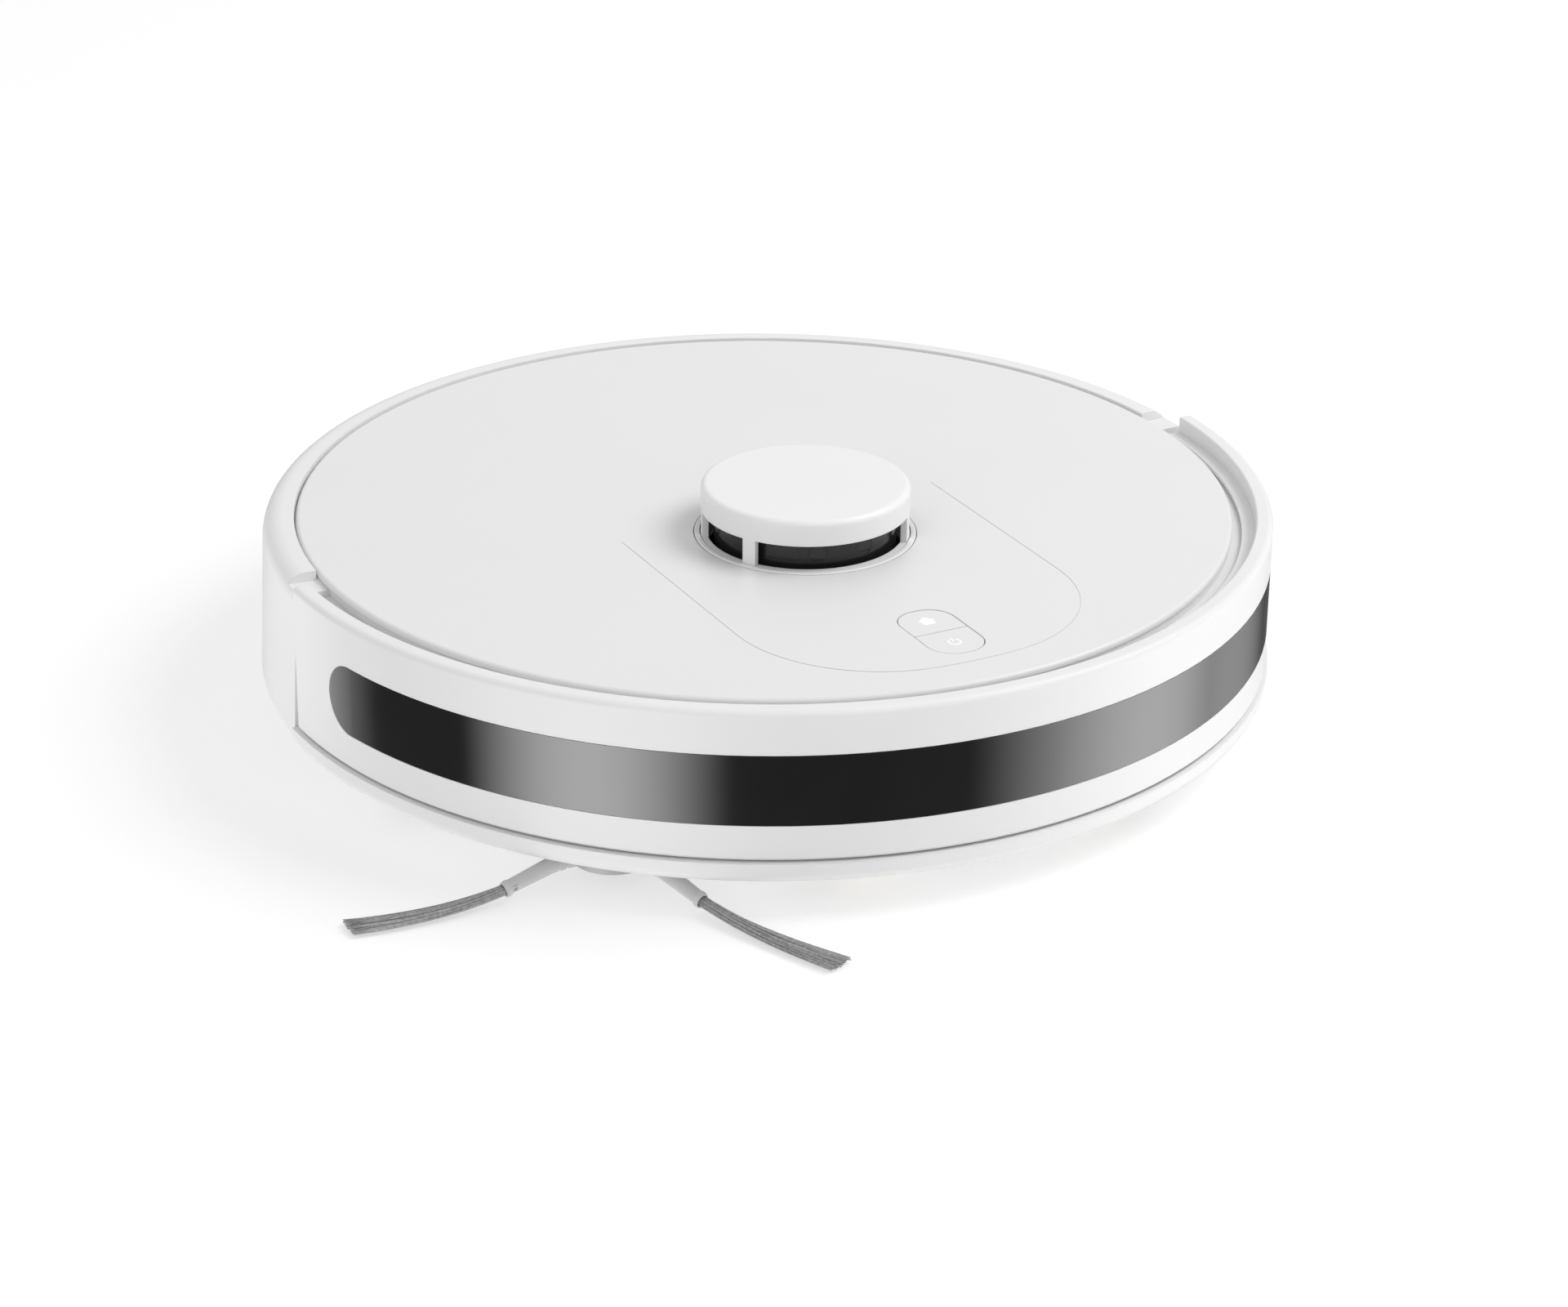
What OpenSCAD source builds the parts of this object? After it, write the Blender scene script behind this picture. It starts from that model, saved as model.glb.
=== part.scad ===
// Round robotic floor cleaner with a scanner turret, a sprung front bumper, two drive
// wheels, a swivel caster, a roller brush, a side brush and a dustbin that slides out.
// Millimetres. The origin is the centre of the round body on the floor; the machine
// drives towards -Y, its left side is +X and +Z is up.

/* [Body] */
// Radius of the round body
body_r = 175; // [174.5:0.1:175.5]
// Height of the flat underside above the floor
deck_z = 12; // [11.8:0.1:12.2]
// Thickness of the underside deck
deck_t = 2.4; // [2.2:0.1:2.6]
// Height of the top plate's upper face above the floor
top_z = 69.5; // [69.4:0.1:70.5]
// Radius of the top plate
plate_r = 161.3; // [160.8:0.1:161.6]
// Thickness of the top plate
plate_t = 2.5; // [2.2:0.1:2.6]
// Thickness of the outer walls
wall_t = 2.6; // [2.2:0.1:2.8]
// Radius of the rounded corner between rear wall and top rim
rim_round = 7; // [5:0.5:8]

/* [Bumper] */
// Half of the angle that the bumper covers, from straight ahead
bumper_az = 89.4; // [89:0.1:90]
// Height of the bumper's top lip above the floor
lip_z = 71.8; // [71:0.1:73]
// Radius of the inner edge of the bumper's top lip
lip_in = 169.2; // [168.8:0.1:169.6]
// Height of the bumper's lower edge above the floor
bumper_z = 20.2; // [20:0.1:21]
// Thickness of the bumper wall
bumper_t = 4; // [3.6:0.1:4.2]
// How far the bumper moves when it is pressed
bumper_travel = 3; // [2:0.5:3]
// Lower edge of the dark window in the bumper
window_z = 32.5; // [31:0.5:34]
// Height of the dark window
window_h = 24.2; // [22:0.2:26]
// Half of the angle that the window covers, to the tips of its round ends
window_az = 81.3; // [80:0.1:83]

/* [Turret] */
// Distance of the turret's axis ahead of the body's centre
turret_y = 30; // [29.5:0.5:30.5]
// Radius of the turret cap
turret_r = 35.6; // [35.4:0.1:36]
// Height of the top of the turret above the floor
turret_z = 87.6; // [87:0.1:88]
// Lower edge of the cap's band, which is the top of the scanner slots
slot_top_z = 78.7; // [78:0.1:79]

/* [Buttons] */
// Width of the button field
panel_w = 20; // [19:0.5:21]
// Length of the button field along the driving direction
panel_l = 35.5; // [34:0.5:37]
// Distance of the button field's centre ahead of the body's centre
panel_y = 122.8; // [122:0.1:124]
// Travel of each button
button_travel = 0.3; // [0.2:0.1:0.3]

/* [Drive wheels] */
// Radius of the drive tyres
tyre_r = 30; // [29.8:0.1:30]
// Width of the drive tyres
tyre_w = 22; // [20:0.5:22]
// Distance of each wheel's mid plane from the centre line
wheel_x = 123; // [122.5:0.5:123]
// Distance of the wheel axle behind the body's centre
wheel_y = 16; // [15.5:0.5:16]

/* [Caster] */
// Distance of the caster's swivel axis ahead of the body's centre
caster_y = 125; // [124:0.5:126]
// Radius of the caster wheel
caster_r = 12; // [11.5:0.1:12]

/* [Brushes] */
// Radius of the roller brush over its strips
roller_r = 20.5; // [19:0.5:20.5]
// Length of the roller brush's strips
roller_l = 152; // [140:1:154]
// Distance of the roller's axis behind the body's centre
roller_y = 48; // [47.5:0.5:48]
// Distance of the side brush's axis to the right of the centre line
side_x = 109.1; // [108.5:0.1:109.5]
// Distance of the side brush's axis ahead of the body's centre
side_y = 106.1; // [105.5:0.1:106.5]
// Radius swept by the side brush's bristle tips
bristle_r = 95.5; // [90:0.5:95.5]
// Direction of the first side brush arm, counted from +X
arm_turn = -184.4; // [-188:0.1:-181]

/* [Dustbin] */
// Width of the dustbin
bin_w = 158.4; // [156:0.2:158.4]
// Front face of the dustbin behind the body's centre
bin_y = 79; // [79:0.5:80]
// Top of the dustbin above the floor
bin_top = 60.8; // [60:0.1:61]

/* [Battery] */
// Width of the battery pack
battery_w = 70; // [60:1:70]
// Length of the battery pack
battery_l = 61; // [50:1:61]
// Height of the battery pack
battery_h = 21; // [18:0.5:24]

/* [Hidden] */
$fn = 32;
ring_fn = 180;
gap = 0.2;                            // between fixed neighbours
deck_top = deck_z + deck_t;
frame_z = deck_top + gap;             // seat of what stands on the deck
frame_r = body_r - 11;                // outside of the inner front wall
shelf_z = top_z - plate_t - 0.1;      // the top plate lies on this
rim_az = bumper_az + 1.2;
rim_z = top_z + 0.4;
end_az = bumper_az - 3;                // start of the thin end of the bumper's wall
notch_az = rim_az + 3.4;               // end of the low step in the rear rim
ledge_z = 62;                         // underside of the upper frame's ring
skirt_top = bumper_z - 0.6;
lip_r = body_r - bumper_t;            // inside of the bumper wall
screw_az = [28, 68, 103, 144];
screw_r = 155.7;
lidar_x = 44;                         // scanner motor beside the turret's axis
pulley_r = 24;
pinion_r = 5;
belt_z = 54;
lidar_post = [[66, -45], [66, -11]];
wheel_z = tyre_r;
pivot_y = -30;
pivot_z = 27;
arm_x = 95;
arm_t = 14;
roller_z = roller_r + 1;
roller_bay = 84;                      // half length of the roller's bay
bay_y0 = roller_y - 24;
bay_y1 = roller_y + 24;
mouth_w = 90;
mouth_z = [27, 41];
caster_trail = 4;
fan_x = -111.2;
fan_y = 87.4;
fan_r = 27;
battery_x = 61;
battery_y = -84;
bin_floor = 15.4;
latch_z = 45;
speaker_at = [-48, -88];
cliff_r = 155.3;
cliff_az = [-75, -21.5, 21.5, 75];
vent_az = 118;
spring_x = 48;

// ---------- helpers ----------

// Points of an arc, counter-clockwise from a0 to a1
function arc(x, y, r, a0, a1, n = 6) =
    [for (i = [0 : n]) let (a = a0 + (a1 - a0) * i / n) [x + r * cos(a), y + r * sin(a)]];

// Revolves a profile between two directions, counted from straight ahead towards the left
module ring(from_az, to_az)
    rotate_extrude(start = from_az - 90, angle = to_az - from_az, $fn = ring_fn) children();

module full_ring() rotate_extrude($fn = ring_fn) children();

// Places a piece at a radius and direction, with its own -Y pointing outwards
module at_az(r, az) translate([r * sin(az), -r * cos(az), 0]) rotate(az) children();

// Box from a low corner to a high corner
module block(lo, hi) translate(lo) cube(hi - lo);

// Cylinder along X, from x0 to x1
module rod_x(r, x0, x1, y, z, fn = 32)
    translate([x0, y, z]) rotate([0, 90, 0]) cylinder(r = r, h = x1 - x0, $fn = fn);

// Mirrors to the right-hand side when s is -1
module side(s) mirror([s < 0 ? 1 : 0, 0, 0]) children();

// Flat shape with round corners, made of two bars and four discs
module round_rect(w, l, r) {
    square([w - 2 * r, l], center = true);
    square([w, l - 2 * r], center = true);
    for (x = [-1, 1], y = [-1, 1]) translate([x * (w / 2 - r), y * (l / 2 - r)]) circle(r - 0.01);
}

// Open coil spring along +Y: a six-sided wire swept along a helix
module open_spring(r, wire, length, turns) {
    steps = turns * 12;
    coil = r - wire / 2;
    points = [for (i = [0 : steps], b = [0 : 5]) let (a = i * 30, out = coil + cos(b * 60) * wire / 2)
        [out * cos(a), wire / 2 + (length - wire) * i / steps + sin(b * 60) * wire / 2, out * sin(a)]];
    sides = [for (i = [0 : steps - 1], b = [0 : 5]) let (c = (b + 1) % 6, o = i * 6)
        [o + b, o + c, o + 6 + c, o + 6 + b]];
    polyhedron(points, concat(sides, [[5, 4, 3, 2, 1, 0]], [[for (b = [0 : 5]) steps * 6 + b]]));
}

// Close-wound spring along +Y: a ribbed tube
module closed_spring(r, wire, length) {
    turns = floor(length / wire);
    ribs = [for (i = [0 : turns - 1]) each
        [[r - wire * 0.2, i * wire], [r, (i + 0.3) * wire], [r, (i + 0.7) * wire]]];
    rotate([-90, 0, 0]) rotate_extrude()
        polygon(concat([[r - wire, 0]], ribs, [[r - wire * 0.2, turns * wire], [r - wire, turns * wire]]));
}

// ---------- body ----------

skirt = concat([[frame_r - 4, deck_z], [body_r - 3.5, deck_z]],
    arc(body_r - 3.5, deck_z + 4.5, 4.5, -90, 0), [[body_r + 1, skirt_top], [frame_r - 4, skirt_top]]);

// Opening in the deck under one drive module
module wheel_well() {
    block([wheel_x - 13.5, -17.5, deck_z - 1], [wheel_x + 14.5, 49.5, deck_top + 1]);
    block([arm_x - 1, -10, deck_z - 1], [wheel_x - 13, 24.5, deck_top + 1]);
}

// Box around the battery pack, grown by e
module battery_box(e, z0, z1)
    translate([battery_x, battery_y, z0])
        linear_extrude(z1 - z0) square([battery_w + 4 + 2 * e, battery_l + 4 + 2 * e], center = true);

module base_chassis() color("gainsboro") difference() {
    union() {
        full_ring() translate([0, deck_z]) square([frame_r - 3.9, deck_t]);
        ring(rim_az, 360 - rim_az) translate([frame_r - 4, deck_z]) square([body_r - 6.6 - frame_r + 4, deck_t]);
        ring(0.1 - rim_az, rim_az - 0.1) polygon(skirt);
        ring(1 - bumper_az, bumper_az - 1)
            translate([frame_r - wall_t, deck_z + 1]) square([wall_t, ledge_z - deck_z - 1.1]);
        battery_box(1.6, deck_z + 1, deck_top + 8);
        for (s = [-1, 1]) side(s) {
            // rails beside the dustbin
            block([bin_w / 2 + 0.6, bin_y, deck_z + 1], [bin_w / 2 + 2.2, 146, bin_floor + 4.6]);
            // posts of the scanner base, main board posts, stops of the bumper springs
            for (p = lidar_post) translate([p[0], p[1], deck_z + 1]) cylinder(r = 4, h = 49.9 - deck_z - 1);
            for (y = [-36, 10]) translate([52, y, deck_z + 1]) cylinder(r = 3, h = 21.9 - deck_z - 1);
            block([spring_x - 5, -126, deck_z + 1], [spring_x + 5, -123.5, 32]);
        }
    }
    battery_box(0, deck_z - 1, deck_top + 9);
    for (s = [-1, 1]) side(s) {
        wheel_well();
        // slots for the bumper's tabs
        block([spring_x - 6, -frame_r, 22], [spring_x + 6, -140, 29]);
        for (a = screw_az) at_az(screw_r, a) {
            translate([0, 0, deck_z - 1]) cylinder(r = 1.6, h = 5);
            translate([0, 0, deck_z - 1]) cylinder(r = 3.3, h = 2.6);
        }
        for (p = lidar_post) translate([p[0], p[1], 38]) cylinder(r = 1.3, h = 13);
    }
    // charging contacts, cliff windows, roller bay, caster and side brush openings
    for (x = [-1, 1]) block([x * 38 - 9.2, -150.2, deck_z - 1], [x * 38 + 9.2, -141.8, deck_z + 1]);
    for (a = cliff_az) at_az(cliff_r, a) block([-8.2, -4.2, deck_z - 1], [8.2, 4.2, deck_top + 1]);
    block([-roller_bay + 0.5, bay_y0 + 1.5, deck_z - 1], [roller_bay - 0.5, bay_y1 - 1.5, deck_top + 1]);
    translate([0, -caster_y, deck_z - 1]) cylinder(r = 19, h = deck_t + 2, $fn = 48);
    translate([-side_x, -side_y, deck_z - 1]) cylinder(r = 6, h = deck_t + 2);
    // sound holes
    for (i = [-2 : 2], j = [-1 : 1])
        translate([speaker_at[0] + i * 5, speaker_at[1] + j * 5, deck_z - 1]) cylinder(r = 1, h = deck_t + 2);
}

// How far the rear wall leans in at a height
function lean(z) = (z - 15) * 0.04;

shell = concat([[body_r - 6.4, deck_z + 1], [body_r - 4.5, deck_z + 1]],
    arc(body_r - 4.5, deck_z + 5.5, 4.5, -90, 0),
    arc(body_r - lean(rim_z) - rim_round, rim_z - rim_round, rim_round, 0, 90, 10),
    [[plate_r + 0.6, rim_z], [plate_r + 0.6, shelf_z], [plate_r - 10, shelf_z], [plate_r - 10, ledge_z],
     [body_r - 8, ledge_z], [body_r - wall_t - lean(ledge_z), ledge_z - 5], [body_r - wall_t, deck_z + 3.6],
     [body_r - 6.4, deck_z + 3.6]]);

// Slots of one exhaust vent, stacked up the rear side wall
module vent(az)
    for (i = [0 : 5], j = [0 : 7])
        at_az(body_r, az + (i - 2.5) * 1.5 * sign(az)) translate([0, 5, 25 + j * 4.2])
            rotate([90, 0, 0]) cylinder(r = 1, h = 10, $fn = 16);

module upper_frame() color("white") difference() {
    union() {
        ring(rim_az, 360 - rim_az) polygon(shell);
        // low ring under the bumper's ledge, its plate seat and the end backings
        ring(-rim_az - 1, rim_az + 1) {
            translate([plate_r - 10, ledge_z]) square([lip_r - 3.6 - plate_r + 10, 2.4]);
            translate([plate_r - 10, ledge_z]) square([5, shelf_z - ledge_z]);
            translate([plate_r - 2.9, ledge_z]) square([2.4, shelf_z - ledge_z]);
        }
        for (s = [-1, 1]) side(s) {
            ring(85, rim_az + 1) {
                translate([plate_r - 4, ledge_z]) square([lip_r - 0.6 - plate_r + 4, 2.4]);
                translate([lip_r - 3, skirt_top + 0.4]) square([2.4, ledge_z + 2 - skirt_top]);
            }
            // backing of the seam at the bumper's end
            ring(end_az, rim_az + 1)
                translate([lip_r - 3, skirt_top + 0.4]) square([4.6, ledge_z + 1 - skirt_top]);
            for (a = screw_az) at_az(screw_r, a)
                translate([0, 0, frame_z]) cylinder(r = 4, h = ledge_z + 1 - frame_z);
        }
    }
    for (s = [-1, 1]) side(s) {
        for (a = screw_az) at_az(screw_r, a) translate([0, 0, frame_z - 1]) cylinder(r = 1.35, h = 14);
        vent(vent_az);
        ring(rim_az - 2, notch_az) translate([plate_r + 0.3, shelf_z - 0.3]) square([20, 10]);
    }
    // mouth of the dustbin bay
    block([-bin_w / 2 - 0.6, 120, bin_floor - 0.6], [bin_w / 2 + 0.6, body_r + 5, bin_top + 0.6]);
}

// Field around the turret: straight sides, round corners and a front arc that meets them
module groove_area(e, back) {
    half = 60;
    corner = 50;
    arc_r = 147;
    corner_y = sqrt(pow(arc_r - corner, 2) - pow(half - corner, 2));
    intersection() {
        circle(arc_r + e, $fn = ring_fn);
        union() {
            translate([-half - e, -corner_y]) square([2 * (half + e), corner_y - 11 + back]);
            for (s = [-1, 1]) translate([s * (half - corner), -corner_y]) circle(corner + e, $fn = 96);
            polygon([[0, 0], [(half - corner) * 1.7, -corner_y * 1.7], [-(half - corner) * 1.7, -corner_y * 1.7]]);
        }
    }
}

module top_plate() color("white") difference() {
    union() {
        full_ring() polygon(concat([[0, top_z - plate_t], [plate_r - 0.4, top_z - plate_t],
            [plate_r, top_z - plate_t + 0.4]], arc(plate_r - 1.5, top_z - 1.5, 1.5, 0, 90, 6), [[0, top_z]]));
        // seat of the turret cap and its ring
        translate([0, -turret_y, 0]) rotate_extrude($fn = 96) polygon([[turret_r - 2.4, 63.6],
            [turret_r + 4.6, 63.6], [turret_r + 4.6, top_z - 1], [turret_r + 2.4, top_z - 1],
            [turret_r + 2.4, 64.9], [turret_r - 2.4, 64.9]]);
        // frame that carries the button board
        block([-15.4, -panel_y - 21.4, 64.2], [15.4, -panel_y + 21.4, top_z - plate_t + 0.5]);
    }
    block([-14, -panel_y - 20, 60], [14, -panel_y + 20, top_z - plate_t]);
    translate([0, -turret_y, 64.9]) cylinder(r = turret_r + 2.4, h = 9, $fn = 96);
    translate([0, -turret_y, 60]) cylinder(r = turret_r - 2.4, h = 9, $fn = 96);
    translate([0, -panel_y, top_z - plate_t - 1]) linear_extrude(plate_t + 2) round_rect(panel_w, panel_l, 9);
    translate([0, 0, top_z - 0.1]) linear_extrude(1) difference() {
        groove_area(0.12, 0);
        groove_area(-0.12, 1);
    }
}

// ---------- bumper ----------

// Strip of the bumper window between two radii, grown by e
module window_strip(r0, r1, e) {
    mid = window_z + window_h / 2;
    end_az = window_az - window_h / 2 / body_r * 180 / PI;
    half = window_h / 2 + e;
    intersection() {
        ring(-window_az - 1, window_az + 1) translate([r0, mid - half - 1]) square([r1 - r0, 2 * half + 2]);
        union() {
            ring(-end_az, end_az) translate([r0 - 1, mid - half + 0.06]) square([r1 - r0 + 2, 2 * half - 0.12]);
            for (s = [-1, 1]) at_az(r0 - 20, s * end_az) translate([0, 0, mid])
                rotate([90, 0, 0]) cylinder(r = half, h = r1 - r0 + 30, $fn = 64);
        }
    }
}

module bumper() color("white") {
    difference() {
        ring(-bumper_az, bumper_az) polygon(concat(
            [[lip_r, bumper_z], [body_r - 1, bumper_z], [body_r, bumper_z + 1]],
            arc(body_r - 2.2, lip_z - 2.2, 2.2, 0, 90), [[lip_in + 0.4, lip_z], [lip_in, lip_z - 0.4],
            [lip_in, 66.2], [plate_r + 3.2, 66.2], [plate_r + 3.2, 65], [lip_r, 65]]));
        window_strip(body_r - 1.5, body_r + 1, 0.1);
        // the wall is thin at both ends, where it slides over the frame's backing
        for (s = [-1, 1]) side(s) ring(end_az - 1.6, bumper_az + 1)
            translate([lip_r - 1, bumper_z - 1]) square([3.2, 65 - bumper_z]);
    }
    // tabs that reach the springs, with the flags of the bump sensors
    for (s = [-1, 1]) side(s) {
        block([spring_x - 4, -lip_r + 4, 24], [spring_x + 4, -142, 27]);
        block([spring_x - 4, -146, 24], [spring_x + 11, -142, 27]);
        block([spring_x + 9.4, -142.1, 24], [spring_x + 10.6, -139.2, 27]);
    }
}

module bumper_window() color([0.06, 0.06, 0.07]) window_strip(body_r - 1.4, body_r, 0);

module bumper_springs() color("silver")
    for (s = [-1, 1]) translate([s * spring_x, -141.8, 25.5]) open_spring(3, 0.8, 15.6, 6);

module bump_sensors() color([0.1, 0.1, 0.1])
    for (s = [-1, 1]) side(s) difference() {
        block([spring_x + 6.5, -138.4, frame_z], [spring_x + 13.5, -130, 30]);
        block([spring_x + 8.6, -139, 21], [spring_x + 11.4, -134, 31]);
    }

// ---------- turret and scanner ----------

// Directions between which each scanner slot is open
slot_az = [[-56, 46], [-106, -64], [53, 97.5], [105.5, 147.5], [155.5, 199.5], [207.5, 249.5]];

module turret_ring() color("white") translate([0, -turret_y, 0])
    rotate_extrude($fn = 96) polygon([[turret_r + 0.3, 65], [turret_r + 2.1, 65], [turret_r + 2.1, top_z + 0.1],
        [turret_r + 1.8, top_z + 0.4], [turret_r + 0.3, top_z + 0.4]]);

module turret_cap() color("white") translate([0, -turret_y, 0]) difference() {
    rotate_extrude($fn = 96) polygon(concat([[turret_r - 2.2, 65], [turret_r, 65]],
        arc(turret_r - 2.2, turret_z - 2.2, 2.2, 0, 90), [[0, turret_z], [0, turret_z - 2],
        [turret_r - 3.6, turret_z - 2], [turret_r - 2.2, turret_z - 3.4]]));
    // scanner slots between the posts
    for (a = slot_az) ring(a[0], a[1])
        translate([turret_r - 4, top_z + 0.2]) square([6, slot_top_z - top_z - 0.2]);
}

module lidar_base() color([0.15, 0.15, 0.16]) difference() {
    union() {
        translate([-70, -51, 50]) cube([140, 46, 2.4]);
        translate([0, -turret_y, 50]) cylinder(r = 3, h = 9);
    }
    translate([lidar_x, -turret_y, 49]) cylinder(r = 2.5, h = 5);
    for (s = [-1, 1], p = lidar_post) translate([s * p[0], p[1], 49]) cylinder(r = 1.6, h = 5);
}

lens_az = [-20, 12];

module lidar_rotor() color([0.05, 0.05, 0.055]) translate([0, -turret_y, 0]) difference() {
    rotate_extrude($fn = 64) polygon([[3.05, belt_z - 0.6], [pulley_r + 1, belt_z - 0.6], [pulley_r + 1, belt_z],
        [pulley_r, belt_z + 0.2], [pulley_r, belt_z + 2.8], [pulley_r + 1, belt_z + 3], [pulley_r + 1, belt_z + 4],
        [31, belt_z + 4], [31, 81], [30, 82], [0, 82], [0, 61], [3.05, 61]]);
    for (a = lens_az) at_az(31, a) translate([0, 6, 74.2]) rotate([90, 0, 0]) cylinder(r = 3.1, h = 8);
}

module lidar_lenses() color([0.25, 0.1, 0.12]) translate([0, -turret_y, 0])
    for (a = lens_az) at_az(31, a) translate([0, 5.8, 74.2]) rotate([90, 0, 0]) cylinder(r = 3, h = 5.6);

module lidar_motor() color("silver") translate([lidar_x, -turret_y, 0]) {
    translate([0, 0, 34]) cylinder(r = 8, h = 15.8);
    translate([0, 0, 49.7]) cylinder(r = 1, h = 7);
}

module lidar_pulley() color("dimgray") translate([lidar_x, -turret_y, belt_z]) difference() {
    rotate_extrude() polygon([[0, -0.8], [pinion_r + 0.8, -0.8], [pinion_r + 0.8, 0], [pinion_r, 0.2],
        [pinion_r, 2.8], [pinion_r + 0.8, 3], [pinion_r + 0.8, 3.8], [0, 3.8]]);
    translate([0, 0, -1]) cylinder(r = 1.05, h = 6);
}

module belt_loop(e) hull() {
    circle(pulley_r + e, $fn = 64);
    translate([lidar_x, 0]) circle(pinion_r + e, $fn = 24);
}

module lidar_belt() color([0.08, 0.08, 0.08]) translate([0, -turret_y, belt_z + 0.4])
    linear_extrude(2.2) difference() {
        belt_loop(1.5);
        belt_loop(0.35);
    }

// ---------- buttons ----------

// Half of the button field; end is 1 for the front half
module button_half(end) intersection() {
    round_rect(panel_w - 0.6, panel_l - 0.6, 8.7);
    translate([0, -end * (panel_l / 4 + 0.1)]) square([panel_w, panel_l / 2 - 0.1], center = true);
}

module button(end) translate([0, -panel_y, 0]) {
    translate([0, 0, top_z - 2.4]) linear_extrude(2.3) button_half(end);
    translate([0, -end * 8.7, 65.2]) cylinder(r = 2, h = 3);
}

module button_board() color("darkgreen") {
    block([-15, -panel_y - 20.6, 62.4], [15, -panel_y + 20.6, 64]);
    for (s = [-1, 1]) translate([0, -panel_y - s * 8.7, 63.9]) cylinder(r = 3, h = 0.7);
}

module power_button() color("white") button(1);
module home_button() color("white") button(-1);

// ---------- electronics and power ----------

module main_board() color("darkgreen") difference() {
    union() {
        block([-57, -41, 22], [57, 15, 23.6]);
        block([-20, -30, 23.5], [4, -6, 26]);
        block([14, -24, 23.5], [26, -12, 25]);
        block([-50, -36, 23.5], [-38, 6, 29]);
        for (x = [34, 44]) translate([x, 4, 23.5]) cylinder(r = 4, h = 8);
    }
    for (x = [-52, 52], y = [-36, 10]) translate([x, y, 21]) cylinder(r = 1.2, h = 4);
}

module battery_pack() color("royalblue") translate([battery_x, battery_y, 15]) {
    translate([0, 0, battery_h / 2]) cube([battery_w, battery_l, battery_h], center = true);
    translate([-6, battery_l / 2 - 4, battery_h - 0.5]) cube([12, 3, 2.5]);
}

module battery_cover() color("gainsboro") difference() {
    battery_box(-0.2, deck_z, deck_z + 2.2);
    for (x = [-1, 1]) translate([battery_x + x * 32, battery_y, deck_z - 1]) cylinder(r = 1.5, h = 5);
    for (i = [-3 : 3]) block([battery_x + i * 6 - 1, battery_y - 12, deck_z - 1],
        [battery_x + i * 6 + 1, battery_y + 12, deck_z + 0.8]);
}

// One cross-head screw with its head at the bottom, standing on z
module screw(z, r, head_r, length) translate([0, 0, z]) difference() {
    union() {
        cylinder(r = head_r, h = 1.3, $fn = 24);
        translate([0, 0, 1.2]) cylinder(r = r, h = length, $fn = 16);
    }
    for (a = [0, 90]) rotate(a) block([-head_r * 0.6, -0.35, -1], [head_r * 0.6, 0.35, 0.7]);
}

module chassis_screws() color("silver") for (s = [-1, 1]) side(s)
    for (a = screw_az) at_az(screw_r, a) screw(deck_z + 0.2, 1.3, 3, 12);

module charge_contacts() color("gold")
    for (x = [-1, 1]) block([x * 38 - 9, -150, deck_z + 0.1], [x * 38 + 9, -142, deck_z + 0.9]);

module cliff_windows() color([0.08, 0.05, 0.06])
    for (a = cliff_az) at_az(cliff_r, a) block([-8, -4, deck_z + 0.3], [8, 4, deck_top + 6]);

module speaker() color([0.12, 0.12, 0.12]) translate([speaker_at[0], speaker_at[1], frame_z]) {
    cylinder(r = 16, h = 4);
    translate([0, 0, 3.9]) cylinder(r = 9, h = 6);
}

// ---------- fan ----------

module fan_housing() color("lightgray") difference() {
    union() {
        translate([fan_x, fan_y, frame_z]) cylinder(r = fan_r, h = 40, $fn = 64);
        block([fan_x, fan_y + 2, 22], [-bin_w / 2 - 0.7, fan_y + 26, 50]);
        at_az(body_r - 5, -vent_az) translate([0, 0, 22]) block([-13, 0, 0], [13, 26, 28]);
    }
    translate([fan_x, fan_y, frame_z + 1.6]) cylinder(r = fan_r - 1.6, h = 36.8, $fn = 64);
    block([fan_x, fan_y + 3.6, 23.6], [-bin_w / 2, fan_y + 24.4, 48.4]);
    at_az(body_r - 4, -vent_az) translate([0, 0, 23.6]) block([-11.4, -1, 0], [11.4, 27, 24.8]);
}

module fan_motor() color("silver") translate([fan_x, fan_y, 0]) {
    translate([0, 0, frame_z + 1.8]) cylinder(r = 12, h = 15);
    translate([0, 0, frame_z + 16.7]) cylinder(r = 1.5, h = 14);
}

module fan_impeller() color("whitesmoke") translate([fan_x, fan_y, 33.5]) difference() {
    union() {
        cylinder(r = 22, h = 1.4, $fn = 48);
        cylinder(r = 5, h = 10);
        for (i = [0 : 8]) rotate(i * 40) translate([4, 0, 0]) rotate(-25) block([-1.5, -0.5, 1], [16, 0.5, 9.5]);
    }
    translate([0, 0, -1]) cylinder(r = 1.55, h = 14);
}

// ---------- drive modules, drawn for the left side ----------

module housing_plan(e) {
    translate([80 + e, -27 + e]) square([15, 36 - 2 * e]);
    translate([91.5 + e, -44 + e]) square([19.5 - 2 * e, 70 - 2 * e]);
    translate([107.5 + e, -20 + e]) square([32 - 2 * e, 72 - 2 * e]);
}

module wheel_housing() difference() {
    translate([0, 0, frame_z]) linear_extrude(62.6 - frame_z) housing_plan(0);
    translate([0, 0, frame_z - 1]) linear_extrude(62.4 - frame_z) housing_plan(1.5);
    rod_x(2.05, 90, 112, pivot_y, pivot_z);
}

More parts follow.
